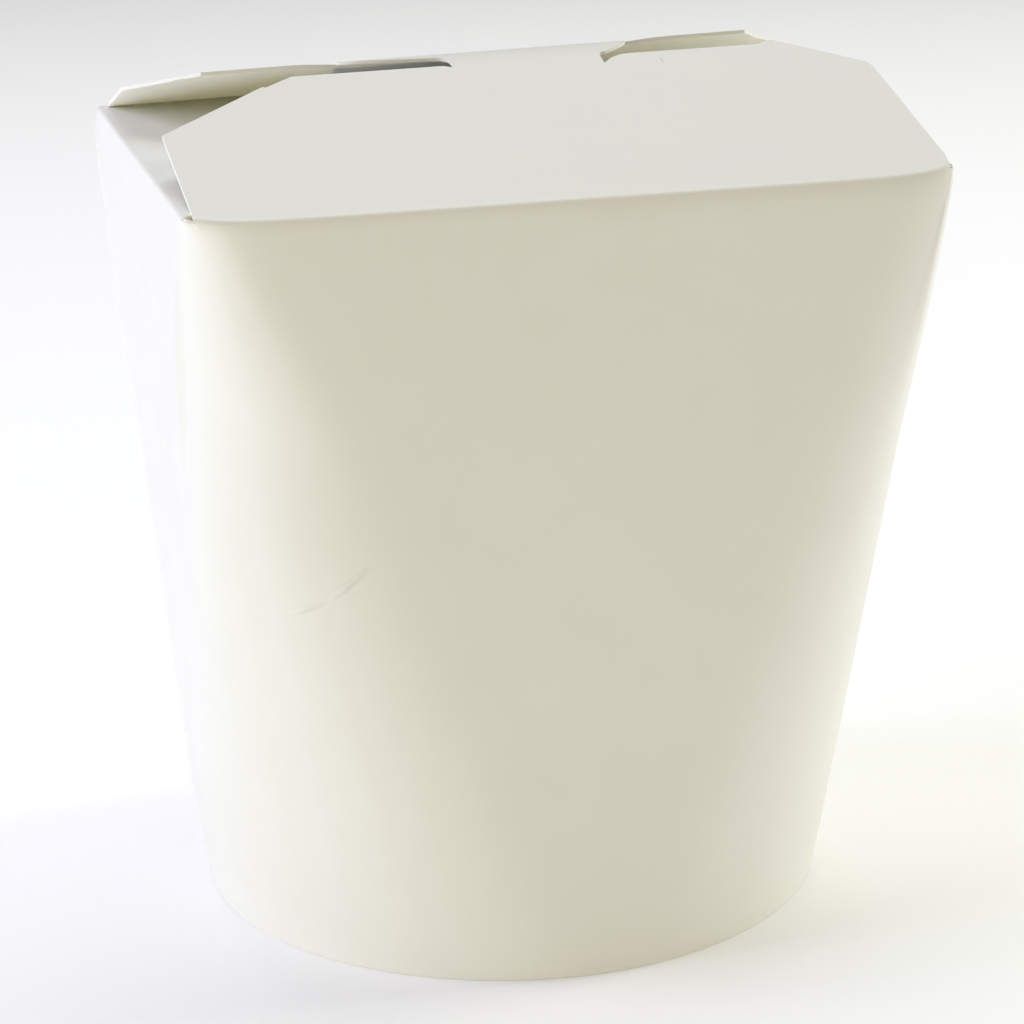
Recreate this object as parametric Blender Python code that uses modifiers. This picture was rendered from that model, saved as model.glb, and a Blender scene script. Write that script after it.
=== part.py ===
"""Noodle takeaway box: a round-based, square-topped paperboard carton, folded shut.

Metres, +Z up. The origin is the middle of the foot, at the level the box stands on.
-Y is the front, whose flap closes over the others and locks at the ridge.
"""

import math

import bmesh
import bpy

# ---------------------------------------------------------------- driving dimensions
TOP_WIDTH = 0.100  # along X, corner to corner at the rim
TOP_DEPTH = 0.086  # along Y, corner to corner at the rim
WALL_HEIGHT = 0.107  # from the foot to the rim's corners
FOOT_DIAMETER = 0.088
BOARD = 0.0005  # paperboard, with its coating

# The rim: its front and back creases are bowed outward, a little below the corners.
CORNER_RADIUS = 0.0008
CREASE_BOW = 0.0024
CREASE_DIP = 0.00075
BOW_POWER = 8  # a high power keeps the crease straight, with a hook at each corner

# The wall: each line of it runs straight from the rim to the round foot.
POLAR_SHARE = 0.12  # how far a flat wall panel spreads at the foot
LEFT_BULGE = 0.0010  # the left side is pushed out by what the box holds
WALL_ROWS = 4

# The foot: the wall's hem stands below a recessed disc.
HEM_THICKNESS = 0.0013
RECESS_HEIGHT = 0.0060
DISC_THICKNESS = 0.0006
CLEARANCE = 0.0003

# The folded-in side flaps make a shallow hip under the gable.
HIP_RISE = 0.0020
HIP_INSET_X = 0.030
HIP_INSET_Y = 0.012

# The gable: both flaps rise from their creases and almost meet at the ridge.
FRONT_SLOPE = math.radians(15.2)
FRONT_TWIST = math.radians(0.6)  # the slope at the right end is this much more
BACK_SLOPE = math.radians(15.6)
BACK_TWIST = math.radians(1.3)
HOOK_FADE = 0.008  # how far up a flap its crease's hooks still show
SHOULDER = 0.0427  # from a crease to the flap's shoulders
ROOT = 0.0015  # how far a flap reaches into the wall, to join it
ROOT_LEAN = 0.7
CREASE_INSET = 0.00015  # a flap's face starts this far inside the rim

# Each end of a flap: (inset from the box's corner, distance from the crease).
FRONT_LEFT = ((0.0018, 0.0), (0.0013, 0.0268), (0.0168, 0.0402), (0.0210, SHOULDER))
FRONT_RIGHT = ((0.0012, 0.0), (0.0002, 0.0040), (0.0002, 0.0330), (0.0116, 0.0449), (0.0142, SHOULDER))
BACK_LEFT = ((0.0018, 0.0), (0.0013, 0.0303), (0.0105, SHOULDER))
BACK_RIGHT = ((0.0012, 0.0), (0.0007, 0.0325), (0.0125, SHOULDER))

# The lock: a neck crosses the gap at the ridge, its head lies over the back flap, and the
# head's tip goes down through that flap's slit.
NECK_CENTRE = 0.0034
NECK_HALF = 0.0103
HEAD_CENTRE = -0.0010
HEAD_HALF = 0.0205
HEAD_START = 0.0033  # these lengths are measured from the shoulders
HEAD_WIDEST = 0.0088
HEAD_LENGTH = 0.0300
HEAD_LIFT = 0.0003  # the head's face, above the back flap's
TUCK_START = 0.0230
TUCK_END = 0.0255
TUCK_DEPTH = 0.0016
SLIT_ENDS = {-1: (0.0017, 0.0009), 1: (0.0040, 0.0026)}  # width and depth, left and right of the neck

GRID = 0.0065  # spacing of the cuts that let a flat outline bend
RIDGE_CUTS = 5
MERGE = 0.00002
EDGE_STEPS = 12
SIDE_STEPS = 6
CORNER_STEPS = 9
HEAD_STEPS = 28
SLIT_STEPS = 4
DISC_SIDES = 72

HALF_WIDTH = TOP_WIDTH / 2
HALF_DEPTH = TOP_DEPTH / 2
FOOT_RADIUS = FOOT_DIAMETER / 2
RECESS_RADIUS = FOOT_RADIUS - HEM_THICKNESS
CREASE_Y = HALF_DEPTH + CREASE_BOW - CREASE_INSET
CREASE_Z = WALL_HEIGHT - CREASE_DIP + CREASE_INSET
BACK_CREASES = [0.0]
FRONT_CREASES = [0.0, SHOULDER + TUCK_START, SHOULDER + TUCK_END]
FRONT_CREASES += [SHOULDER + HEAD_WIDEST * i / RIDGE_CUTS for i in range(RIDGE_CUTS + 1)]


# ---------------------------------------------------------------- scene and materials
def clear_scene():
    for obj in list(bpy.data.objects):
        bpy.data.objects.remove(obj)


def new_collection(name):
    collection = bpy.data.collections.new(name)
    bpy.context.scene.collection.children.link(collection)
    return collection


def board_material(name, colour, roughness):
    material = bpy.data.materials.new(name)
    material.use_nodes = True
    shader = material.node_tree.nodes["Principled BSDF"]
    shader.inputs["Base Color"].default_value = (*colour, 1.0)
    shader.inputs["Roughness"].default_value = roughness
    shader.inputs["Metallic"].default_value = 0.0
    return material


def object_from(data, name, collection):
    """Moves this bmesh into a new object, facing out."""
    bmesh.ops.recalc_face_normals(data, faces=data.faces)
    mesh = bpy.data.meshes.new(name)
    data.to_mesh(mesh)
    data.free()
    obj = bpy.data.objects.new(name, mesh)
    collection.objects.link(obj)
    return obj


# ---------------------------------------------------------------- the wall
def hook(x):
    """1 at a corner of the rim, and 0 along the straight part of a crease."""
    return min(1.0, abs(x) / HALF_WIDTH) ** BOW_POWER


def rim_outline():
    """The rim seen from above, anticlockwise from the front left: a bowed, rounded rectangle."""
    straight_x = HALF_WIDTH - CORNER_RADIUS
    straight_y = HALF_DEPTH - CORNER_RADIUS
    points = []
    for turn in range(4):
        facing = math.radians(90 * turn - 90)
        half, away, steps = (
            (straight_x, straight_y, EDGE_STEPS),
            (straight_y, straight_x, SIDE_STEPS),
        )[turn % 2]
        out, side = (math.cos(facing), math.sin(facing)), (-math.sin(facing), math.cos(facing))
        places = [(-half + 2 * half * i / steps, away + CORNER_RADIUS) for i in range(steps)]
        for i in range(CORNER_STEPS):
            bend = math.radians(90) * i / CORNER_STEPS
            places.append((half + CORNER_RADIUS * math.sin(bend), away + CORNER_RADIUS * math.cos(bend)))
        points += [(out[0] * b + side[0] * a, out[1] * b + side[1] * a) for a, b in places]
    return [(x, y + math.copysign(CREASE_BOW * (1 - hook(x)), y)) for x, y in points]


def unwrap(angles):
    """The same angles, without the jump of a full turn."""
    result = [angles[0]]
    for angle in angles[1:]:
        while angle < result[-1] - math.pi:
            angle += 2 * math.pi
        result.append(angle)
    return result


def foot_angles(rim):
    """Where each rim point's line meets the round foot.

    The wall is one bent sheet, so both ends of a line face nearly the same way.
    """
    count = len(rim)
    facing = []
    for i in range(count):
        before, after = rim[i - 1], rim[(i + 1) % count]
        facing.append(math.atan2(before[0] - after[0], after[1] - before[1]))
    polar = [math.atan2(y / HALF_DEPTH, x / HALF_WIDTH) for x, y in rim]
    pairs = zip(unwrap(facing), unwrap(polar))
    return [face * (1 - POLAR_SHARE) + around * POLAR_SHARE for face, around in pairs]


def wall_row(rim, angles, part):
    """The wall's points at this part of its height: 0 at the foot and 1 at the rim."""
    row = []
    for (x, y), angle in zip(rim, angles):
        foot_x, foot_y = FOOT_RADIUS * math.cos(angle), FOOT_RADIUS * math.sin(angle)
        bulge = LEFT_BULGE * max(0.0, -math.cos(angle)) ** 2 * math.sin(math.pi * part)
        height = WALL_HEIGHT - CREASE_DIP * (1 - hook(x))
        row.append(
            (
                foot_x + (x - foot_x) * part - bulge,
                foot_y + (y - foot_y) * part,
                height * part,
            )
        )
    return row


def circle(radius, height, angles):
    return [(radius * math.cos(a), radius * math.sin(a), height) for a in angles]


def hip_outline(rim):
    """The edge of the level where the side flaps end, under the gable."""
    across = 1 - HIP_INSET_X / HALF_WIDTH
    along = 1 - HIP_INSET_Y / HALF_DEPTH
    height = WALL_HEIGHT + HIP_RISE
    return [(x * across, math.copysign(min(abs(y), HALF_DEPTH), y) * along, height) for x, y in rim]


def make_wall_block(collection):
    """The wall, closed above by the side flaps and hollow below as far as the disc's recess."""
    rim = rim_outline()
    angles = foot_angles(rim)
    levels = [circle(RECESS_RADIUS, RECESS_HEIGHT, angles), circle(RECESS_RADIUS, 0.0, angles)]
    levels += [wall_row(rim, angles, row / WALL_ROWS) for row in range(WALL_ROWS + 1)]
    levels.append(hip_outline(rim))
    data = bmesh.new()
    rings = [[data.verts.new(point) for point in level] for level in levels]
    for lower, upper in zip(rings, rings[1:]):
        for i in range(len(rim)):
            data.faces.new((lower[i - 1], lower[i], upper[i], upper[i - 1]))
    data.faces.new(rings[0])
    data.faces.new(rings[-1])
    return object_from(data, "carton", collection)


# ---------------------------------------------------------------- the flaps
def root_of(x, along, side):
    """A flap's point at x, no further up than its crease; side is -1 at the front, 1 at the back."""
    sunk = min(along, 0.0)
    y = CREASE_Y - CREASE_BOW * hook(x) + ROOT_LEAN * sunk
    return side * y, CREASE_Z + CREASE_DIP * hook(x) + sunk


def crease_hook(x, along):
    """How far the crease's hooks have faded here, in from the crease and down from the corner."""
    faded = hook(x) * (1 - math.exp(-max(along, 0.0) / HOOK_FADE))
    return CREASE_BOW * faded, CREASE_DIP * faded


def front_slope(x):
    return FRONT_SLOPE + FRONT_TWIST * x / HALF_WIDTH


def back_slope(x):
    return BACK_SLOPE + BACK_TWIST * x / HALF_WIDTH


def fold_back(x, along):
    """The back flap, which leans forward over the box."""
    y, z = root_of(x, along, 1)
    out, down = crease_hook(x, along)
    rise = max(along, 0.0)
    return x, y + out - rise * math.cos(back_slope(x)), z - down + rise * math.sin(back_slope(x))


def ridge_radius(x):
    """The radius of the neck's bend at x.

    It leaves the front flap at the shoulders, and meets the back flap's face raised by the
    head's lift.
    """
    front, back = front_slope(x), back_slope(x)
    lift = HEAD_LIFT / math.cos(back)
    level = 2 * CREASE_Y * math.tan(back) + lift
    crossing = level / (math.sin(front) + math.cos(front) * math.tan(back))
    return (crossing - SHOULDER) / math.tan((front + back) / 2)


def fold_front(x, along):
    """The front flap: up the gable and, for the tongue, over the ridge and down behind it."""
    y, z = root_of(x, along, -1)
    out, down = crease_hook(x, along)
    front, back = front_slope(x), back_slope(x)
    radius = ridge_radius(x)
    rise = min(max(along, 0.0), SHOULDER)
    turned = min(max(along - SHOULDER, 0.0) / radius, front + back)
    past = max(along - SHOULDER - radius * (front + back), 0.0)
    part = min(max((along - SHOULDER - TUCK_START) / (TUCK_END - TUCK_START), 0.0), 1.0)
    sunk = TUCK_DEPTH * part
    y += rise * math.cos(front) + past * math.cos(back) - out - sunk * math.sin(back)
    z += rise * math.sin(front) - past * math.sin(back) - down - sunk * math.cos(back)
    y += radius * (math.sin(front) - math.sin(front - turned))
    z += radius * (math.cos(front - turned) - math.cos(front))
    return x, y, z


def end_points(end, side):
    """One end of a flap, from the crease to the shoulder; side is -1 at the left, 1 at the right."""
    return [(side * (HALF_WIDTH - inset), along) for inset, along in end]


def slit_end(side):
    """The rounded end of the slit beside the neck, from the shoulder down to the neck's root."""
    width, depth = SLIT_ENDS[side]
    root = NECK_CENTRE + side * NECK_HALF
    parts = [i / SLIT_STEPS for i in range(SLIT_STEPS + 1)]
    return [(root + side * width * (1 - part), SHOULDER - depth * part * part) for part in parts]


def tongue_side(side):
    """One edge of the tongue, from the shoulder to the middle of its tip."""
    root = NECK_CENTRE + side * NECK_HALF
    edge = slit_end(side)
    for i in range(HEAD_STEPS + 1):
        turn = math.pi * i / HEAD_STEPS
        half = HEAD_HALF * math.sin(turn)
        length = (HEAD_WIDEST - HEAD_START) if 2 * i < HEAD_STEPS else (HEAD_LENGTH - HEAD_WIDEST)
        along = SHOULDER + HEAD_WIDEST - length * math.cos(turn)
        x = HEAD_CENTRE + side * half
        if side * (x - root) > 0 or 2 * i > HEAD_STEPS:
            edge.append((x, along))
    return edge


def flap_outline(left, right, tongue):
    """A flap laid flat, anticlockwise, as (x, distance from its crease)."""
    left_edge, right_edge = end_points(left, -1), end_points(right, 1)
    root = [(left_edge[0][0], -ROOT), (right_edge[0][0], -ROOT)]
    top = tongue_side(1) + tongue_side(-1)[-2::-1] if tongue else []
    return root + right_edge + top + left_edge[::-1]


def cut_into_grid(data, outline, creases):
    """Cuts a flat outline into strips both ways, so that it can bend, and along its creases."""
    for axis in (0, 1):
        low = min(point[axis] for point in outline)
        high = max(point[axis] for point in outline)
        steps = math.ceil((high - low) / GRID)
        places = [low + (high - low) * i / steps for i in range(1, steps)]
        if axis:
            places = creases + [p for p in places if min(abs(p - c) for c in creases) > GRID / 4]
        for place in places:
            bmesh.ops.bisect_plane(
                data,
                geom=data.verts[:] + data.edges[:] + data.faces[:],
                plane_co=(place, place, 0.0),
                plane_no=(0.0, 1.0, 0.0) if axis else (1.0, 0.0, 0.0),
            )
    bmesh.ops.remove_doubles(data, verts=data.verts, dist=MERGE)
    bmesh.ops.triangulate(data, faces=data.faces)
    bmesh.ops.dissolve_degenerate(data, dist=MERGE, edges=data.edges)


def make_flap(name, outline, creases, fold, collection):
    """A flat outline, bent by its fold and given the board's thickness on its inner side."""
    data = bmesh.new()
    data.faces.new([data.verts.new((x, along, 0.0)) for x, along in outline])
    cut_into_grid(data, outline, creases)
    for vert in data.verts:
        vert.co = fold(vert.co.x, vert.co.y)
    flap = object_from(data, name, collection)
    if sum(face.normal.z for face in flap.data.polygons) < 0:
        flap.data.flip_normals()
    solid = flap.modifiers.new("Board", "SOLIDIFY")
    solid.thickness = BOARD
    solid.offset = -1
    solid.use_even_offset = True
    flap.hide_render = True
    flap.display_type = "WIRE"
    return flap


def join_to(body, other):
    modifier = body.modifiers.new("Join " + other.name, "BOOLEAN")
    modifier.operation = "UNION"
    modifier.solver = "EXACT"
    modifier.object = other


# ---------------------------------------------------------------- assembly
def make_base_disc(collection):
    data = bmesh.new()
    bmesh.ops.create_cone(
        data,
        cap_ends=True,
        segments=DISC_SIDES,
        radius1=RECESS_RADIUS - CLEARANCE,
        radius2=RECESS_RADIUS - CLEARANCE,
        depth=DISC_THICKNESS,
    )
    disc = object_from(data, "base_disc", collection)
    disc.location.z = RECESS_HEIGHT - CLEARANCE - DISC_THICKNESS / 2
    return disc


def main():
    clear_scene()
    box = new_collection("noodle_takeaway_box")
    helpers = new_collection("helpers")
    back_outline = flap_outline(BACK_LEFT, BACK_RIGHT, False)
    front_outline = flap_outline(FRONT_LEFT, FRONT_RIGHT, True)
    back = make_flap("back_form", back_outline, BACK_CREASES, fold_back, helpers)
    front = make_flap("front_form", front_outline, FRONT_CREASES, fold_front, helpers)
    carton = make_wall_block(box)
    join_to(carton, back)
    join_to(carton, front)
    carton.data.materials.append(board_material("white_board", (0.84, 0.83, 0.79), 0.42))
    disc = make_base_disc(box)
    disc.data.materials.append(board_material("base_board", (0.80, 0.78, 0.72), 0.55))


main()
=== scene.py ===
"""Looks for the noodle takeaway box: its folded board, finish, light and camera. Metres, +Z up."""

import math

import bmesh
import bpy
from mathutils import Matrix, Vector, geometry


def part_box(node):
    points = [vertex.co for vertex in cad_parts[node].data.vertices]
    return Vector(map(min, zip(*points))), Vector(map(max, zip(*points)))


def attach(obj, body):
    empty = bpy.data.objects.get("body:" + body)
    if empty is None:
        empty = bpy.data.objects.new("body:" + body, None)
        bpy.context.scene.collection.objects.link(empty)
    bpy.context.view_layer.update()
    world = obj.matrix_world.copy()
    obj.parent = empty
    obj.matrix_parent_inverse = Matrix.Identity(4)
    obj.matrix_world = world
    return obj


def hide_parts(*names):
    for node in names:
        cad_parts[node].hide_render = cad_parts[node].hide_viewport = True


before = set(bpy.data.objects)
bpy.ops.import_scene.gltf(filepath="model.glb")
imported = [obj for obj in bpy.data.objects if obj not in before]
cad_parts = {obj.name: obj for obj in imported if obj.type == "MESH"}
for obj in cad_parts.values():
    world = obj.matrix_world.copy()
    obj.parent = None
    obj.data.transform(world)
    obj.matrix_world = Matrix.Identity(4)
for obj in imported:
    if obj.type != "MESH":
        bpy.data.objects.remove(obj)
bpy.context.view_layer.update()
BOX_LOW, BOX_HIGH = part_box("carton")
DISC_LOW, DISC_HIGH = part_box("base_disc")

MM = 0.001

# ---------------------------------------------------------------- sizes
HALF_WIDTH = BOX_HIGH.x
CREASE_BOW = 2.4 * MM
CREASE_DIP = 0.75 * MM
HALF_DEPTH = BOX_HIGH.y - CREASE_BOW
WALL_HEIGHT = 107 * MM
CREASE_INSET = 0.15 * MM
FOOT_RADIUS = 44.1 * MM
FOOT_SHIFT = -0.1 * MM
CORNER_RADIUS = 0.6 * MM
BOW_POWER = 13
POLAR_SHARE = 0.12
BOARD = 0.45 * MM
FOLD = 0.5 * MM  # half the width of board that a crease bends

# Each side has a flat facet under its flap: an upside-down triangle between two creases that run
# from the rim's corners to its apex. The round body stands proud of it.
FACET_APEX = 67.5 * MM
BODY_PROUD = {"left": (1.65 * MM, 1.1 * MM), "right": (0.60 * MM, 0.10 * MM)}  # at the rim, and lower down
PROUD_REACH = (2.2 * MM, 11 * MM)  # how soon it stands proud: at the rim, and at the apex

# A crease runs down the front and the back of each corner, and fades out below.
CREASE_PROUD = 0.35 * MM
CREASE_REACH = (1.0 * MM, 9.0 * MM)
CREASE_FADE = (0.92, 0.62)

# The front left corner is rounded off below the rim: more of it with depth, then none.
EASED_RADIUS = 6.8 * MM
EASED_GROWTH = 0.42
EASED_DEPTH = (24 * MM, 46 * MM)

# The glued seam, down the back.
SEAM_X = 28 * MM
SEAM_FADE = 15 * MM

FRONT_SLOPE = math.radians(14.95)
FRONT_TWIST = math.radians(0.75)
BACK_SLOPE = math.radians(15.6)
BACK_TWIST = math.radians(1.3)
HOOK_FADE = 8 * MM
SHOULDER = 42.7 * MM

# Each end of a flap: (inset from the box's corner, distance from the crease).
FRONT_LEFT = ((1.4, 0.0), (1.3, 26.8), (16.6, 40.0), (17.0, 39.7), (21.0, 42.7))
FRONT_RIGHT = ((0.7, 0.0), (0.3, 4.0), (0.2, 33.0), (0.7, 34.7), (11.6, 44.1), (13.6, 42.7))
BACK_LEFT = ((1.6, 0.0), (0.7, 29.5), (10.0, 42.7))
BACK_RIGHT = ((1.2, 0.0), (0.7, 26.0), (9.4, 37.0), (12.8, 42.7))

# The tongue. Lengths along it are measured from the shoulders.
NECK_CENTRE = 3.4 * MM
NECK_HALF = 10.3 * MM
HEAD_CENTRE = -1.0 * MM
HEAD_HALF = 20.5 * MM
HEAD_START = {-1: 3.3 * MM, 1: -3.0 * MM}
EAR_FILLET = {-1: 2.0 * MM, 1: 1.0 * MM}
HEAD_WIDEST = 8.8 * MM
HEAD_LENGTH = 30.0 * MM
HEAD_SAG = 0.5 * MM  # how far the back flap gives way under the head
TUCK_START = 23.0 * MM
TUCK_END = 25.5 * MM
TUCK_DEPTH = 1.6 * MM
SLOT_WIDTH = 1.5 * MM
SLOT_ROOM = 1.0 * MM
SLIT_ENDS = {-1: (1.7 * MM, 0.9 * MM), 1: (4.0 * MM, 2.6 * MM)}

# The side flaps, folded in first, under the others.
SIDE_SLOPE = math.radians(4.5)
SIDE_LENGTH = 51 * MM
SIDE_TAPER = math.radians(16)
SIDE_INSET = 0.5 * MM
SIDE_FLATTEN = 60 * MM

# The foot: the board folds in and up, over the base's turned-down edge.
HEM_GAP = 1.3 * MM
HEM_HEIGHT = 4.6 * MM

COLUMN_STEP = 1.5 * MM
ROW_STEP = 1.5 * MM
CORNER_STEPS = 26
WALL_ROWS = 84


# ---------------------------------------------------------------- the wall
def hook(x):
    """1 at a corner of the rim, and 0 along the straight part of a crease."""
    return min(1.0, abs(x) / HALF_WIDTH) ** BOW_POWER


def spread(low, high, step, extra=()):
    """Places from low to high about a step apart, with the extra places among them."""
    count = max(1, math.ceil((high - low) / step))
    places = [low + (high - low) * i / count for i in range(count + 1)]
    inside = [p for p in extra if low < p < high]
    kept = [p for p in places if p in (low, high) or all(abs(p - e) > step / 3 for e in inside)]
    return sorted(kept + inside)


def flap_root(left, right):
    """Where a flap's root starts and ends along its crease."""
    return left[0][0] * MM - HALF_WIDTH, HALF_WIDTH - right[0][0] * MM


FRONT_ROOT = flap_root(FRONT_LEFT, FRONT_RIGHT)
BACK_ROOT = flap_root(BACK_LEFT, BACK_RIGHT)
SIDE_ROOT = (SIDE_INSET - HALF_DEPTH, HALF_DEPTH - SIDE_INSET)
STRAIGHT_X = HALF_WIDTH - CORNER_RADIUS
STRAIGHT_Y = HALF_DEPTH - CORNER_RADIUS
SEAM_STEP = 0.08 * MM
X_STOPS = sorted({*FRONT_ROOT, *BACK_ROOT, SEAM_X, SEAM_X + SEAM_STEP})
X_PLACES = spread(-STRAIGHT_X, STRAIGHT_X, COLUMN_STEP, X_STOPS)
Y_PLACES = spread(-STRAIGHT_Y, STRAIGHT_Y, COLUMN_STEP, SIDE_ROOT)


def rim_columns():
    """The rim's points, anticlockwise from the front left, each with its side and place along it."""
    columns = []
    for side in ("front", "right", "back", "left"):
        for place in (X_PLACES if side in ("front", "back") else Y_PLACES):
            columns.append((*rim_point(side, place), side, place))
        turn = ("front", "right", "back", "left").index(side)
        for i in range(1, CORNER_STEPS):
            bend = math.radians(90) * (turn - 1 + i / CORNER_STEPS)
            signs = ((1, -1), (1, 1), (-1, 1), (-1, -1))[turn]
            x = signs[0] * STRAIGHT_X + CORNER_RADIUS * math.cos(bend)
            y = signs[1] * STRAIGHT_Y + CORNER_RADIUS * math.sin(bend)
            columns.append((x, y + math.copysign(CREASE_BOW * (1 - hook(x)), y), "corner", 0.0))
    return columns


def rim_point(side, place):
    """The rim, where a side's creases run, at this place along the side's own direction."""
    if side in ("front", "back"):
        sign = -1 if side == "front" else 1
        x = -sign * place
        return x, sign * (HALF_DEPTH + CREASE_BOW * (1 - hook(x)))
    sign = 1 if side == "right" else -1
    return sign * HALF_WIDTH, sign * place


def unwrap(angles):
    result = [angles[0]]
    for angle in angles[1:]:
        while angle < result[-1] - math.pi:
            angle += 2 * math.pi
        result.append(angle)
    return result


RIM = rim_columns()


def foot_angles():
    """Where each rim point's straight line meets the round foot."""
    count = len(RIM)
    facing = []
    for i in range(count):
        before, after = RIM[i - 1], RIM[(i + 1) % count]
        facing.append(math.atan2(before[0] - after[0], after[1] - before[1]))
    polar = [math.atan2(y / HALF_DEPTH, x / HALF_WIDTH) for x, y, _, _ in RIM]
    pairs = zip(unwrap(facing), unwrap(polar))
    return [face * (1 - POLAR_SHARE) + around * POLAR_SHARE for face, around in pairs]


ANGLES = foot_angles()


def wall_point(column, part):
    """A column's point at this part of its height: 0 at the foot and 1 at the rim."""
    x, y, side, place = RIM[column]
    angle = ANGLES[column]
    height = (WALL_HEIGHT - CREASE_DIP * (1 - hook(x))) * part
    foot = Vector((FOOT_SHIFT + FOOT_RADIUS * math.cos(angle), FOOT_RADIUS * math.sin(angle), 0.0))
    point = foot.lerp(Vector((x, y, height / part if part else 0.0)), part)
    out = Vector((math.cos(angle), math.sin(angle), 0.0))
    proud = body_proud(point, angle, part) + crease_proud(angle, part) + seam_proud(side, place, part)
    return round_off(point + out * proud, part)


def round_off(point, part):
    """Brings the front left corner in to a wider curve than the rim's."""
    depth = WALL_HEIGHT - point.z
    radius = EASED_RADIUS * (1 - math.exp(-depth / (0.8 * MM))) + EASED_GROWTH * depth
    share = 1 - ease(depth, *EASED_DEPTH)
    x = FOOT_SHIFT * (1 - part) - HALF_WIDTH * part - FOOT_RADIUS * (1 - part) + radius
    y = 0.2 * MM * part - (HALF_DEPTH + CREASE_BOW) * part - FOOT_RADIUS * (1 - part) + radius
    away = Vector((point.x - x, point.y - y, 0.0))
    if share <= 0 or away.x > 0 or away.y > 0 or away.length <= radius:
        return point
    return point - away * (1 - radius / away.length) * share


def ease(value, low, high):
    """0 up to low, 1 from high on, and smooth between them. High may be the lower of the two."""
    part = min(max((value - low) / (high - low), 0.0), 1.0)
    return part * part * (3 - 2 * part)


def body_proud(point, angle, part):
    """How far the round body stands out beside a side's flat facet."""
    depth = WALL_HEIGHT - FACET_APEX
    length = math.hypot(HALF_DEPTH, depth)
    past = (abs(point.y) - HALF_DEPTH) * depth / length + (WALL_HEIGHT - point.z) * HALF_DEPTH / length
    top, low = BODY_PROUD["left" if math.cos(angle) < 0 else "right"]
    down = min((WALL_HEIGHT - point.z) / depth, 1.0)
    reach = PROUD_REACH[0] + (PROUD_REACH[1] - PROUD_REACH[0]) * down
    amount = low + (top - low) * ease(part, 0.6, 0.85)
    if math.cos(angle) < 0:
        amount *= ease(math.sin(angle), -0.75, -0.2)
    sideways = ease(abs(math.cos(angle)), 0.25, 0.75)
    return amount * (1 - math.exp(-max(past, 0.0) / reach)) * sideways * ease(part, 0.0, 0.08)


def crease_proud(angle, part):
    """The ridge along the crease beside each corner, measured round from the front or the back."""
    turn = abs((math.degrees(angle) + 180) % 180 - 90)  # 0 facing the front or the back, 90 at a side
    corner = 45 if math.cos(angle) > 0 else 27
    if math.cos(angle) < 0 and math.sin(angle) < 0:
        return 0.0
    line = corner - (corner - 20) * math.exp(-(1 - part) / 0.07)
    away = math.radians(abs(turn - line)) * (CORNER_RADIUS + FOOT_RADIUS * (1 - part))
    lower = 1 - part
    reach = CREASE_REACH[0] + (CREASE_REACH[1] - CREASE_REACH[0]) * lower
    sharp = ease(part, CREASE_FADE[1], CREASE_FADE[0])
    return CREASE_PROUD * sharp * math.exp(-away / reach) * ease(lower, 0.0, 0.03)


def seam_proud(side, place, part):
    """The overlapping end of the blank, glued down: one board's step, which dies away past it."""
    if side != "back" or place < SEAM_X + SEAM_STEP / 2:
        return 0.0
    fade = math.exp(-(((place - SEAM_X) / SEAM_FADE) ** 2))
    return BOARD * fade * ease(part, 0.985, 0.955)


COLUMN_OF = {(side, round(place, 7)): i for i, (_, _, side, place) in enumerate(RIM) if side != "corner"}
TOP_PART = 1 - FOLD / WALL_HEIGHT


# ---------------------------------------------------------------- how each flap lies
def front_slope(x):
    return FRONT_SLOPE + FRONT_TWIST * x / HALF_WIDTH


def back_slope(x):
    return BACK_SLOPE + BACK_TWIST * x / HALF_WIDTH


def hook_lost(x, along):
    """How far the crease's hooks have faded up a flap: outward, and down."""
    faded = hook(x) * (1 - math.exp(-along / HOOK_FADE))
    return CREASE_BOW * faded, CREASE_DIP * faded


def crease_start(x, sign):
    y = sign * (HALF_DEPTH + CREASE_BOW * (1 - hook(x)) - CREASE_INSET)
    return y, WALL_HEIGHT - CREASE_DIP * (1 - hook(x)) + CREASE_INSET


def lie_back(x, along):
    y, z = crease_start(x, 1)
    out, down = hook_lost(x, along)
    slope = back_slope(x)
    beside = abs(x - HEAD_CENTRE)
    down += HEAD_SAG * ease(beside, 27 * MM, 17 * MM) * ease(along, 6 * MM, 26 * MM)
    return Vector((x, y + out - along * math.cos(slope), z - down + along * math.sin(slope)))


def ridge_radius(x):
    """The tongue's bend: it leaves the front flap at the shoulders and lands on the back flap."""
    front, back = front_slope(x), back_slope(x)
    crease_y = HALF_DEPTH + CREASE_BOW - CREASE_INSET
    crossing = 2 * crease_y * math.tan(back) / (math.sin(front) + math.cos(front) * math.tan(back))
    return (crossing - SHOULDER) / math.tan((front + back) / 2)


def lie_front(x, along):
    y, z = crease_start(x, -1)
    out, down = hook_lost(x, along)
    front, back = front_slope(x), back_slope(x)
    radius = ridge_radius(x)
    rise = min(along, SHOULDER)
    turned = min(max(along - SHOULDER, 0.0) / radius, front + back)
    past = max(along - SHOULDER - radius * (front + back), 0.0)
    part = min(max((along - SHOULDER - TUCK_START) / (TUCK_END - TUCK_START), 0.0), 1.0)
    sunk = TUCK_DEPTH * part
    y += rise * math.cos(front) + past * math.cos(back) - out - sunk * math.sin(back)
    z += rise * math.sin(front) - past * math.sin(back) - down - sunk * math.cos(back)
    y += radius * (math.sin(front) - math.sin(front - turned))
    z += radius * (math.cos(front - turned) - math.cos(front))
    return Vector((x, y, z))


def lie_side(sign, lift):
    """A side flap, rising gently inward and flattening towards its end."""

    def lie(y, along):
        rise = math.tan(SIDE_SLOPE) * along * (1 - along / (2 * SIDE_FLATTEN))
        settle = lift * min(1.0, along / (SIDE_LENGTH / 2)) ** 2
        return Vector((sign * (HALF_WIDTH - along * math.cos(SIDE_SLOPE)), y, WALL_HEIGHT + rise + settle))

    return lie


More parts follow.
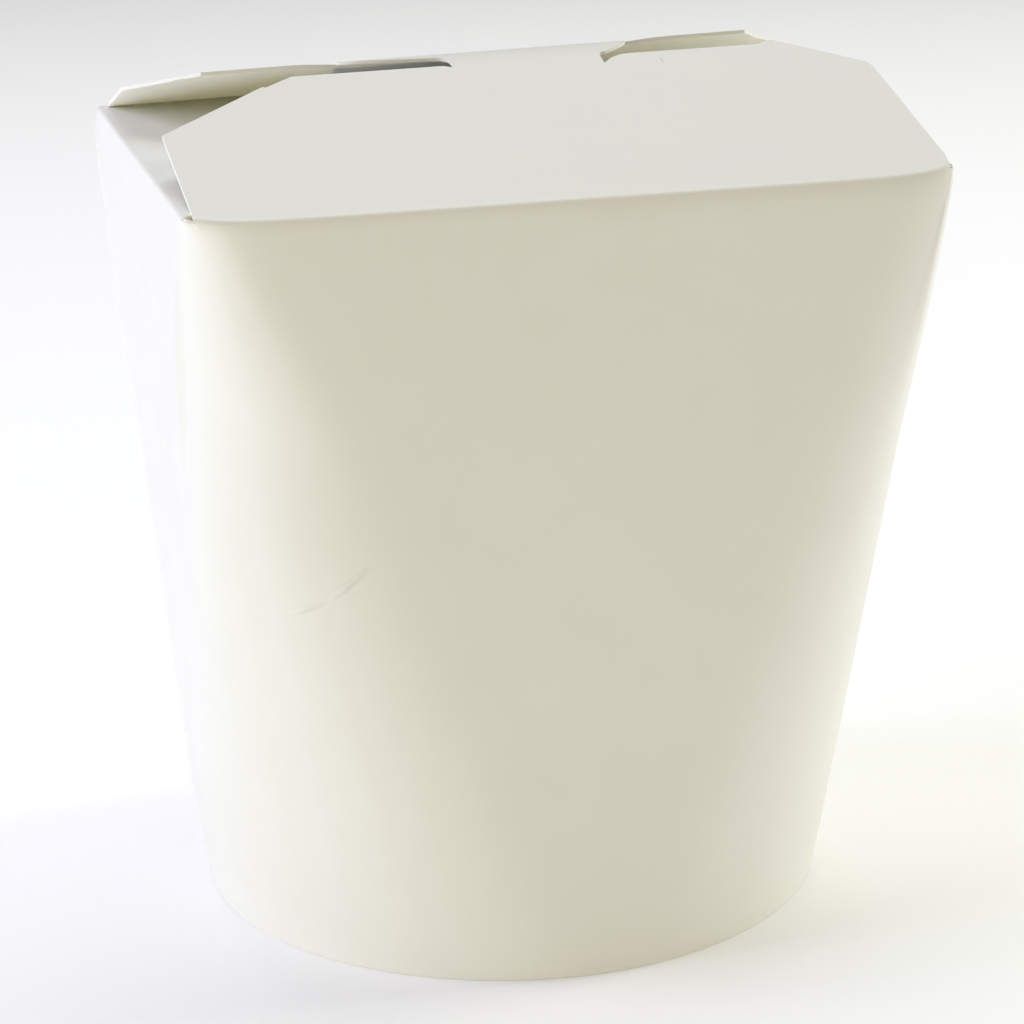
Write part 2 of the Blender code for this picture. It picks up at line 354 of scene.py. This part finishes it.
# ---------------------------------------------------------------- the blank's flat outlines
def end_points(end, side):
    return [(side * (HALF_WIDTH - inset * MM), along * MM) for inset, along in end]


def slit_end(side):
    """The rounded end of the slit beside the neck."""
    width, depth = SLIT_ENDS[side]
    root = NECK_CENTRE + side * NECK_HALF
    parts = [i / 8 for i in range(9)]
    return [(root + side * width * (1 - part), SHOULDER - depth * part * part) for part in parts]


def tongue_side(side):
    """One edge of the tongue, from the shoulder to the middle of its tip."""
    root = NECK_CENTRE + side * NECK_HALF
    radius = EAR_FILLET[side]
    ear = [head_point(side, math.pi * i / 60) for i in range(61)]
    ear = [p for i, p in enumerate(ear) if side * (p[0] - root) > radius + 0.2 * MM or i > 30]
    start = ear[0][1] - 0.1 * MM
    turns = [math.radians(90) * i / 6 for i in range(7)]
    fillet = [(root + side * radius * (1 - math.cos(t)), start - radius * (1 - math.sin(t))) for t in turns]
    return slit_end(side) + fillet + ear


def head_point(side, turn):
    """A point round the head: turn is 0 at the neck's middle and a half turn at the tip's middle."""
    length = HEAD_WIDEST - HEAD_START[side] if turn < math.pi / 2 else HEAD_LENGTH - HEAD_WIDEST
    along = SHOULDER + HEAD_WIDEST - length * math.cos(turn)
    return HEAD_CENTRE + side * HEAD_HALF * math.sin(turn), along


def main_outline(left, right, tongue):
    """A main flap laid flat, anticlockwise, as (x, distance from its crease)."""
    left_edge, right_edge = end_points(left, -1), end_points(right, 1)
    root = [(left_edge[0][0], -FOLD), (right_edge[0][0], -FOLD)]
    top = tongue_side(1) + tongue_side(-1)[-2::-1] if tongue else []
    return root + right_edge + top + left_edge[::-1]


def tongue_slot():
    """The slit in the back flap that takes the tongue's tip, where the tongue sinks through it."""
    sunk = SHOULDER + TUCK_START + (TUCK_END - TUCK_START) * 0.4
    along = (HALF_DEPTH + CREASE_BOW - lie_front(0.0, sunk).y) / math.cos(BACK_SLOPE)
    turn = math.acos((HEAD_WIDEST - TUCK_START) / (HEAD_LENGTH - HEAD_WIDEST))
    half = HEAD_HALF * math.sin(turn) + SLOT_ROOM
    low, high = along - SLOT_WIDTH / 2, along + SLOT_WIDTH / 2
    left, right = HEAD_CENTRE - half, HEAD_CENTRE + half
    return [(left, low), (right, low), (right, high), (left, high)]


def side_outline():
    low, high = SIDE_ROOT
    drop = SIDE_LENGTH * math.tan(SIDE_TAPER)
    return [
        (low, -FOLD),
        (high, -FOLD),
        (high, 0.6 * MM),
        (high - drop, SIDE_LENGTH - 4 * MM),
        (high - drop - 4 * MM, SIDE_LENGTH),
        (low + drop + 4 * MM, SIDE_LENGTH),
        (low + drop, SIDE_LENGTH - 4 * MM),
        (low, 0.6 * MM),
    ]


# ---------------------------------------------------------------- one sheet of board
def inside(outline, a, b):
    """Whether a point lies inside an outline."""
    found = False
    for (a0, b0), (a1, b1) in zip(outline, outline[1:] + outline[:1]):
        if (b0 > b) != (b1 > b) and a < a0 + (b - b0) * (a1 - a0) / (b1 - b0):
            found = not found
    return found


def near_edge(outline, a, b, room):
    """Whether a point is within this room of an outline's edges."""
    for (a0, b0), (a1, b1) in zip(outline, outline[1:] + outline[:1]):
        across, along = a1 - a0, b1 - b0
        part = ((a - a0) * across + (b - b0) * along) / (across**2 + along**2)
        part = min(max(part, 0.0), 1.0)
        if math.hypot(a - a0 - across * part, b - b0 - along * part) < room:
            return True
    return False


def cut_edges(outline, across, along):
    """The outline with a point wherever a line of the grid crosses it, but none closer than a gap."""
    gap = 0.12 * MM
    result = []
    for (a0, b0), (a1, b1) in zip(outline, outline[1:] + outline[:1]):
        parts = [(p - a0) / (a1 - a0) for p in across if min(a0, a1) < p < max(a0, a1)]
        if b0 != b1:
            parts += [(p - b0) / (b1 - b0) for p in along if min(b0, b1) < p < max(b0, b1)]
        length = math.hypot(a1 - a0, b1 - b0)
        result.append((a0, b0))
        last = 0.0
        flat = b0 == b1 == -FOLD
        for part in sorted(parts):
            if flat or ((part - last) * length > gap and (1 - part) * length > gap):
                result.append((a0 + (a1 - a0) * part, b0 + (b1 - b0) * part))
                last = part
    return result


def fill_outline(outline, across, along, slot):
    """Points and triangles that fill a flat outline, along the lines of a grid."""
    edge = cut_edges(outline, across, along)
    loops = [edge]
    if slot:
        loops.append(cut_edges(slot, across, along))
    points = [point for loop in loops for point in loop]
    rims = []
    for loop in loops:
        start = len(rims)
        rims += [(start + i, start + (i + 1) % len(loop)) for i in range(len(loop))]
    for b in along:
        room = 0.1 * MM if b < 1 * MM else 0.35 * MM
        for a in across:
            if inside(outline, a, b) and not near_edge(outline, a, b, room):
                if not slot or not (inside(slot, a, b) or near_edge(slot, a, b, room)):
                    points.append((a, b))
    flat = [Vector((a / MM, b / MM)) for a, b in points]
    found, _, faces = geometry.delaunay_2d_cdt(flat, rims, [], 0, 1e-5)[:3]
    kept = []
    for face in faces:
        a = sum(found[i].x for i in face) / len(face) * MM
        b = sum(found[i].y for i in face) / len(face) * MM
        if inside(edge, a, b) and not (slot and inside(slot, a, b)):
            kept.append(face)
    return [(point.x * MM, point.y * MM) for point in found], kept


def add_flap(sheet, outline, side, lie, along, slot=None):
    """Folds a flat outline up from one side of the rim and joins it to the sheet."""
    mirror = -1 if side in ("back", "left") else 1
    across = sorted(mirror * p for p in (X_PLACES if side in ("front", "back") else Y_PLACES))
    points, faces = fill_outline(outline, across, along, slot)
    verts = [sheet.verts.new(fold_point(side, lie, a, b, mirror)) for a, b in points]
    for face in faces:
        sheet.faces.new([verts[i] for i in face])


def fold_point(side, lie, place, along, mirror):
    """A flap's point in space, with its crease rounded over from the wall."""
    if along >= FOLD:
        return lie(place, along)
    rim = lie(place, 0.0)
    below = wall_point(nearest_column(side, mirror * place), TOP_PART)
    part = (along + FOLD) / (2 * FOLD)
    above = lie(place, FOLD)
    return below * (1 - part) ** 2 + rim * 2 * part * (1 - part) + above * part**2


def nearest_column(side, place):
    places = X_PLACES if side in ("front", "back") else Y_PLACES
    return COLUMN_OF[side, round(min(places, key=lambda p: abs(p - place)), 7)]


def add_wall(sheet):
    """The wall from its top down to the foot, then folded in and up as the hem."""
    parts = [TOP_PART * i / WALL_ROWS for i in range(WALL_ROWS + 1)]
    rings = [[wall_point(c, part) for c in range(len(RIM))] for part in parts]
    radius = HEM_GAP / 2
    inner = FOOT_RADIUS - HEM_GAP
    hem = [(inner, z * MM) for z in (HEM_HEIGHT / MM, 3.4, 2.3, 1.4, radius / MM)]
    for i in range(1, 9):
        turn = math.pi * i / 9
        square = 0.75 if i > 4 else 1.0
        up = 1 - math.sin(turn) ** square
        hem.append((inner + radius * (1 - math.cos(turn)), radius * up))
    low = [[Vector((FOOT_SHIFT + r * math.cos(a), r * math.sin(a), z)) for a in ANGLES] for r, z in hem]
    start = next(i for i, part in enumerate(parts) if part * WALL_HEIGHT > radius)
    levels = low + rings[start:]
    rows = [[sheet.verts.new(point) for point in level] for level in levels]
    for lower, upper in zip(rows, rows[1:]):
        for i in range(len(RIM)):
            sheet.faces.new((lower[i - 1], lower[i], upper[i], upper[i - 1]))


def make_board():
    """The whole folded blank, as one sheet given the board's thickness on its inner side."""
    sheet = bmesh.new()
    add_wall(sheet)
    fold_rows = [-FOLD / 2, 0.0, FOLD / 2, FOLD]
    rows = fold_rows + spread(1.5 * MM, SHOULDER, ROW_STEP)
    ridge = spread(SHOULDER + 0.7 * MM, SHOULDER + 12 * MM, 0.8 * MM)
    head = spread(SHOULDER + 13 * MM, SHOULDER + 22 * MM, ROW_STEP)
    tuck = spread(SHOULDER + TUCK_START, SHOULDER + HEAD_LENGTH, 0.8 * MM)
    add_flap(sheet, main_outline(FRONT_LEFT, FRONT_RIGHT, True), "front", lie_front, rows + ridge + head + tuck)
    add_flap(sheet, main_outline(BACK_LEFT, BACK_RIGHT, False), "back", lie_back, rows, tongue_slot())
    side_rows = fold_rows + spread(1.5 * MM, SIDE_LENGTH, 2 * ROW_STEP)
    for side, sign, lift in (("left", -1, 0.0), ("right", 1, 0.3 * MM)):
        add_flap(sheet, side_outline(), side, lie_side(sign, lift), side_rows)
    bmesh.ops.remove_doubles(sheet, verts=sheet.verts, dist=4e-6)
    return finish_sheet(sheet, "folded_board", BOARD)


def finish_sheet(sheet, name, thickness):
    """Gives a sheet its thickness inward and smooth shading with crisp cut edges."""
    bmesh.ops.recalc_face_normals(sheet, faces=sheet.faces)
    mesh = bpy.data.meshes.new(name)
    sheet.to_mesh(mesh)
    sheet.free()
    piece = bpy.data.objects.new(name, mesh)
    bpy.context.scene.collection.objects.link(piece)
    solid = piece.modifiers.new("Board", "SOLIDIFY")
    solid.thickness = thickness
    solid.offset = -1
    solid.material_offset = 1
    solid.material_offset_rim = 2
    for material in (coated_board(), inner_board_painted_shade(), cut_edge_painted_highlight()):
        piece.data.materials.append(material)
    graph = bpy.context.evaluated_depsgraph_get()
    solid_mesh = bpy.data.meshes.new_from_object(piece.evaluated_get(graph))
    piece.modifiers.clear()
    piece.data = solid_mesh
    bpy.data.meshes.remove(mesh)
    solid_mesh.name = name
    solid_mesh.shade_smooth()
    solid_mesh.set_sharp_from_angle(angle=math.radians(40))
    return piece


# ---------------------------------------------------------------- the base
def make_base():
    """The round base: a shallow dish set upside down inside the foot."""
    sheet = bmesh.new()
    top = DISC_HIGH.z
    skirt = FOOT_RADIUS - HEM_GAP / 2
    bend = 1.2 * MM
    profile = [(skirt, 1.0 * MM), (skirt, top - bend)]
    for i in range(1, 7):
        turn = math.radians(90) * i / 6
        profile.append((skirt - bend * (1 - math.cos(turn)), top - bend * (1 - math.sin(turn))))
    for radius in (40, 38, 34, 28, 20, 10):
        profile.append((radius * MM, top))
    steps = 144
    rows = []
    for radius, z in profile:
        turns = [2 * math.pi * i / steps for i in range(steps)]
        rows.append([sheet.verts.new((radius * math.cos(t), radius * math.sin(t), z)) for t in turns])
    for lower, upper in zip(rows, rows[1:]):
        for i in range(steps):
            sheet.faces.new((lower[i - 1], lower[i], upper[i], upper[i - 1]))
    sheet.faces.new(rows[-1])
    return finish_sheet(sheet, "base_board", 0.4 * MM)


# ---------------------------------------------------------------- materials
def new_material(name):
    material = bpy.data.materials.new(name)
    material.use_nodes = True
    tree = material.node_tree
    return material, tree, tree.nodes["Principled BSDF"]


def noise_node(tree, scale, detail, roughness=0.5):
    coords = tree.nodes.get("Coords") or tree.nodes.new("ShaderNodeTexCoord")
    coords.name = "Coords"
    node = tree.nodes.new("ShaderNodeTexNoise")
    node.inputs["Scale"].default_value = scale
    node.inputs["Detail"].default_value = detail
    node.inputs["Roughness"].default_value = roughness
    tree.links.new(coords.outputs["Object"], node.inputs["Vector"])
    return node


def ramp_node(tree, source, stops):
    node = tree.nodes.new("ShaderNodeValToRGB")
    ramp = node.color_ramp
    while len(ramp.elements) < len(stops):
        ramp.elements.new(0.5)
    for element, (position, colour) in zip(ramp.elements, stops):
        element.position = position
        element.color = (*colour, 1.0)
    tree.links.new(source, node.inputs["Fac"])
    return node


def bump_node(tree, height, distance, strength, below=None):
    node = tree.nodes.new("ShaderNodeBump")
    node.inputs["Distance"].default_value = distance
    node.inputs["Strength"].default_value = strength
    tree.links.new(height, node.inputs["Height"])
    if below:
        tree.links.new(below.outputs["Normal"], node.inputs["Normal"])
    return node


def streak_node(tree, streak, below):
    """A short raised line on the board, between two points."""
    start, end, facing, half_width, height = streak
    along = (end - start).normalized()
    across = facing.cross(along).normalized()
    turn = Matrix((along, across, along.cross(across))).transposed()
    place = tree.nodes.new("ShaderNodeMapping")
    place.vector_type = "TEXTURE"
    place.inputs["Location"].default_value = (start + end) / 2
    place.inputs["Rotation"].default_value = turn.to_euler()
    place.inputs["Scale"].default_value = ((end - start).length * 0.6, half_width, 3 * MM)
    tree.links.new(tree.nodes["Coords"].outputs["Object"], place.inputs["Vector"])
    shape = tree.nodes.new("ShaderNodeTexGradient")
    shape.gradient_type = "SPHERICAL"
    tree.links.new(place.outputs["Vector"], shape.inputs["Vector"])
    return bump_node(tree, shape.outputs["Fac"], height, 1.0, below)


def board_finish(name, light, dark, rough, grain_scale, grain_depth, through=0.0, streaks=()):
    material, tree, shader = new_material(name)
    mottle = noise_node(tree, 90, 3)
    fibre = noise_node(tree, grain_scale, 4, 0.6)
    colour = ramp_node(tree, mottle.outputs["Fac"], ((0.3, dark), (0.7, light)))
    tree.links.new(colour.outputs["Color"], shader.inputs["Base Color"])
    gloss = ramp_node(tree, mottle.outputs["Fac"], ((0.25, (rough + 0.05,) * 3), (0.75, (rough - 0.05,) * 3)))
    tree.links.new(gloss.outputs["Color"], shader.inputs["Roughness"])
    soft = bump_node(tree, mottle.outputs["Fac"], 0.06 * MM, 0.5)
    fine = bump_node(tree, fibre.outputs["Fac"], grain_depth, 0.6, soft)
    for streak in streaks:
        fine = streak_node(tree, streak, fine)
    tree.links.new(fine.outputs["Normal"], shader.inputs["Normal"])
    shader.inputs["Subsurface Weight"].default_value = through  # light that comes through the board
    shader.inputs["Subsurface Scale"].default_value = 2.2 * MM
    shader.inputs["Subsurface Radius"].default_value = (1.0, 0.85, 0.5)
    return material


def once(make):
    made = {}

    def get():
        if "material" not in made:
            made["material"] = make()
        return made["material"]

    return get


def wrinkles():
    """The wrinkle on the front wall, in two parts, and the scratch by the neck."""
    wall = Vector((-0.5, -0.86, -0.05))
    points = [Vector(p) * MM for p in ((-38.3, -39.2, 54.0), (-34.2, -41.9, 55.8), (-33.5, -42.3, 56.3), (-28.9, -44.1, 60.4))]
    scratch = (lie_front(21.4 * MM, 38.6 * MM), lie_front(21.6 * MM, 40.8 * MM))
    return (
        (points[0], points[1], wall, 0.55 * MM, 0.22 * MM),
        (points[2], points[3], wall, 0.60 * MM, 0.30 * MM),
        (*scratch, Vector((0.0, -0.26, 0.97)), 0.30 * MM, 0.12 * MM),
    )


@once
def coated_board():
    return board_finish("coated_board", (0.875, 0.868, 0.815), (0.865, 0.857, 0.800), 0.42, 2600, 0.008 * MM, 0.0, wrinkles())


# The board's inner face. Its yellow tint is painted shade, the warm shade inside the box, laid over the board's
# own near-white.
@once
def inner_board_painted_shade():
    return board_finish("inner_board_painted_shade", (0.90, 0.88, 0.79), (0.88, 0.86, 0.76), 0.62, 1900, 0.02 * MM, 0.9)


# The board's cut edges. They are coloured lighter than the coated face as a painted highlight.
@once
def cut_edge_painted_highlight():
    return board_finish("cut_edge_painted_highlight", (0.93, 0.92, 0.88), (0.88, 0.87, 0.82), 0.75, 4200, 0.03 * MM)


# ---------------------------------------------------------------- stage, light and camera
WORLD = ((1.0, 0.91, 0.78), 0.22)
FLOOR_GLOW = 0.15
# Each light: place, target, size, watts and colour.
LIGHTS = {
    "key": ((-1.20, 0.10, 0.62), (0, 0, 0.06), (0.9, 0.8), 11.9, (0.70, 0.73, 1.0)),
    "low": ((-0.95, -0.85, 0.14), (0, 0, 0.08), (0.9, 0.35), 2.8, (0.96, 1.0, 0.38)),
    "top": ((0.10, 0.35, 1.30), (0, 0, 0.10), (1.0, 1.0), 7.5, (0.95, 0.99, 1.0)),
    "right": ((1.20, 0.10, 0.40), (0, 0, 0.06), (0.5, 0.8), 8.6, (0.96, 1.0, 0.91)),
    "front": ((-0.10, -1.60, 0.50), (0, 0, 0.06), (1.4, 1.0), 1.25, (1.0, 0.5, 0.05)),
}


def make_floor():
    bpy.ops.mesh.primitive_plane_add(size=8.0)
    floor = bpy.context.object
    floor.name = "floor"
    material, tree, shader = new_material("floor_paint")
    shader.inputs["Base Color"].default_value = (0.92, 0.92, 0.92, 1.0)
    shader.inputs["Roughness"].default_value = 0.9
    shader.inputs["Specular IOR Level"].default_value = 0.1
    shader.inputs["Emission Color"].default_value = (1.0, 1.0, 1.0, 1.0)
    shader.inputs["Emission Strength"].default_value = FLOOR_GLOW
    floor.data.materials.append(material)


def add_light(name, place, target, size, power, colour):
    light = bpy.data.lights.new(name, "AREA")
    light.shape = "RECTANGLE"
    light.size, light.size_y = size
    light.energy = power
    light.color = colour
    lamp = bpy.data.objects.new(name, light)
    lamp.location = place
    lamp.rotation_euler = (Vector(target) - Vector(place)).to_track_quat("-Z", "Y").to_euler()
    bpy.context.scene.collection.objects.link(lamp)


def add_world(colour, strength):
    world = bpy.data.worlds.new("studio")
    world.use_nodes = True
    back = world.node_tree.nodes["Background"]
    back.inputs["Color"].default_value = (*colour, 1.0)
    back.inputs["Strength"].default_value = strength
    bpy.context.scene.world = world


CAMERA_TURN = math.radians(13.83)  # to the left of the front
CAMERA_LIFT = math.radians(17.08)
CAMERA_ROLL = math.radians(-1.22)
CAMERA_DISTANCE = 441.3 * MM
CAMERA_TARGET = Vector((1.0 * MM, 0.0, 52.33 * MM))
CAMERA_LENS = 108.53


def add_camera():
    data = bpy.data.cameras.new("camera")
    data.lens = CAMERA_LENS
    data.clip_start = 0.01
    camera = bpy.data.objects.new("camera", data)
    level = math.cos(CAMERA_LIFT)
    toward = Vector((-math.sin(CAMERA_TURN) * level, -math.cos(CAMERA_TURN) * level, math.sin(CAMERA_LIFT)))
    place = CAMERA_TARGET + toward * CAMERA_DISTANCE
    turn = (-toward).to_track_quat("-Z", "Y").to_matrix() @ Matrix.Rotation(CAMERA_ROLL, 3, "Z")
    camera.matrix_world = Matrix.Translation(place) @ turn.to_4x4()
    bpy.context.scene.collection.objects.link(camera)
    bpy.context.scene.camera = camera


def main():
    board = make_board()
    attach(board, "root")
    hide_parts("carton")
    base = make_base()
    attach(base, "root")
    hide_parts("base_disc")
    make_floor()
    add_world(*WORLD)
    for name, light in LIGHTS.items():
        add_light(name, *light)
    add_camera()
    bpy.context.scene.view_settings.view_transform = "Standard"
    bpy.context.view_layer.update()


main()
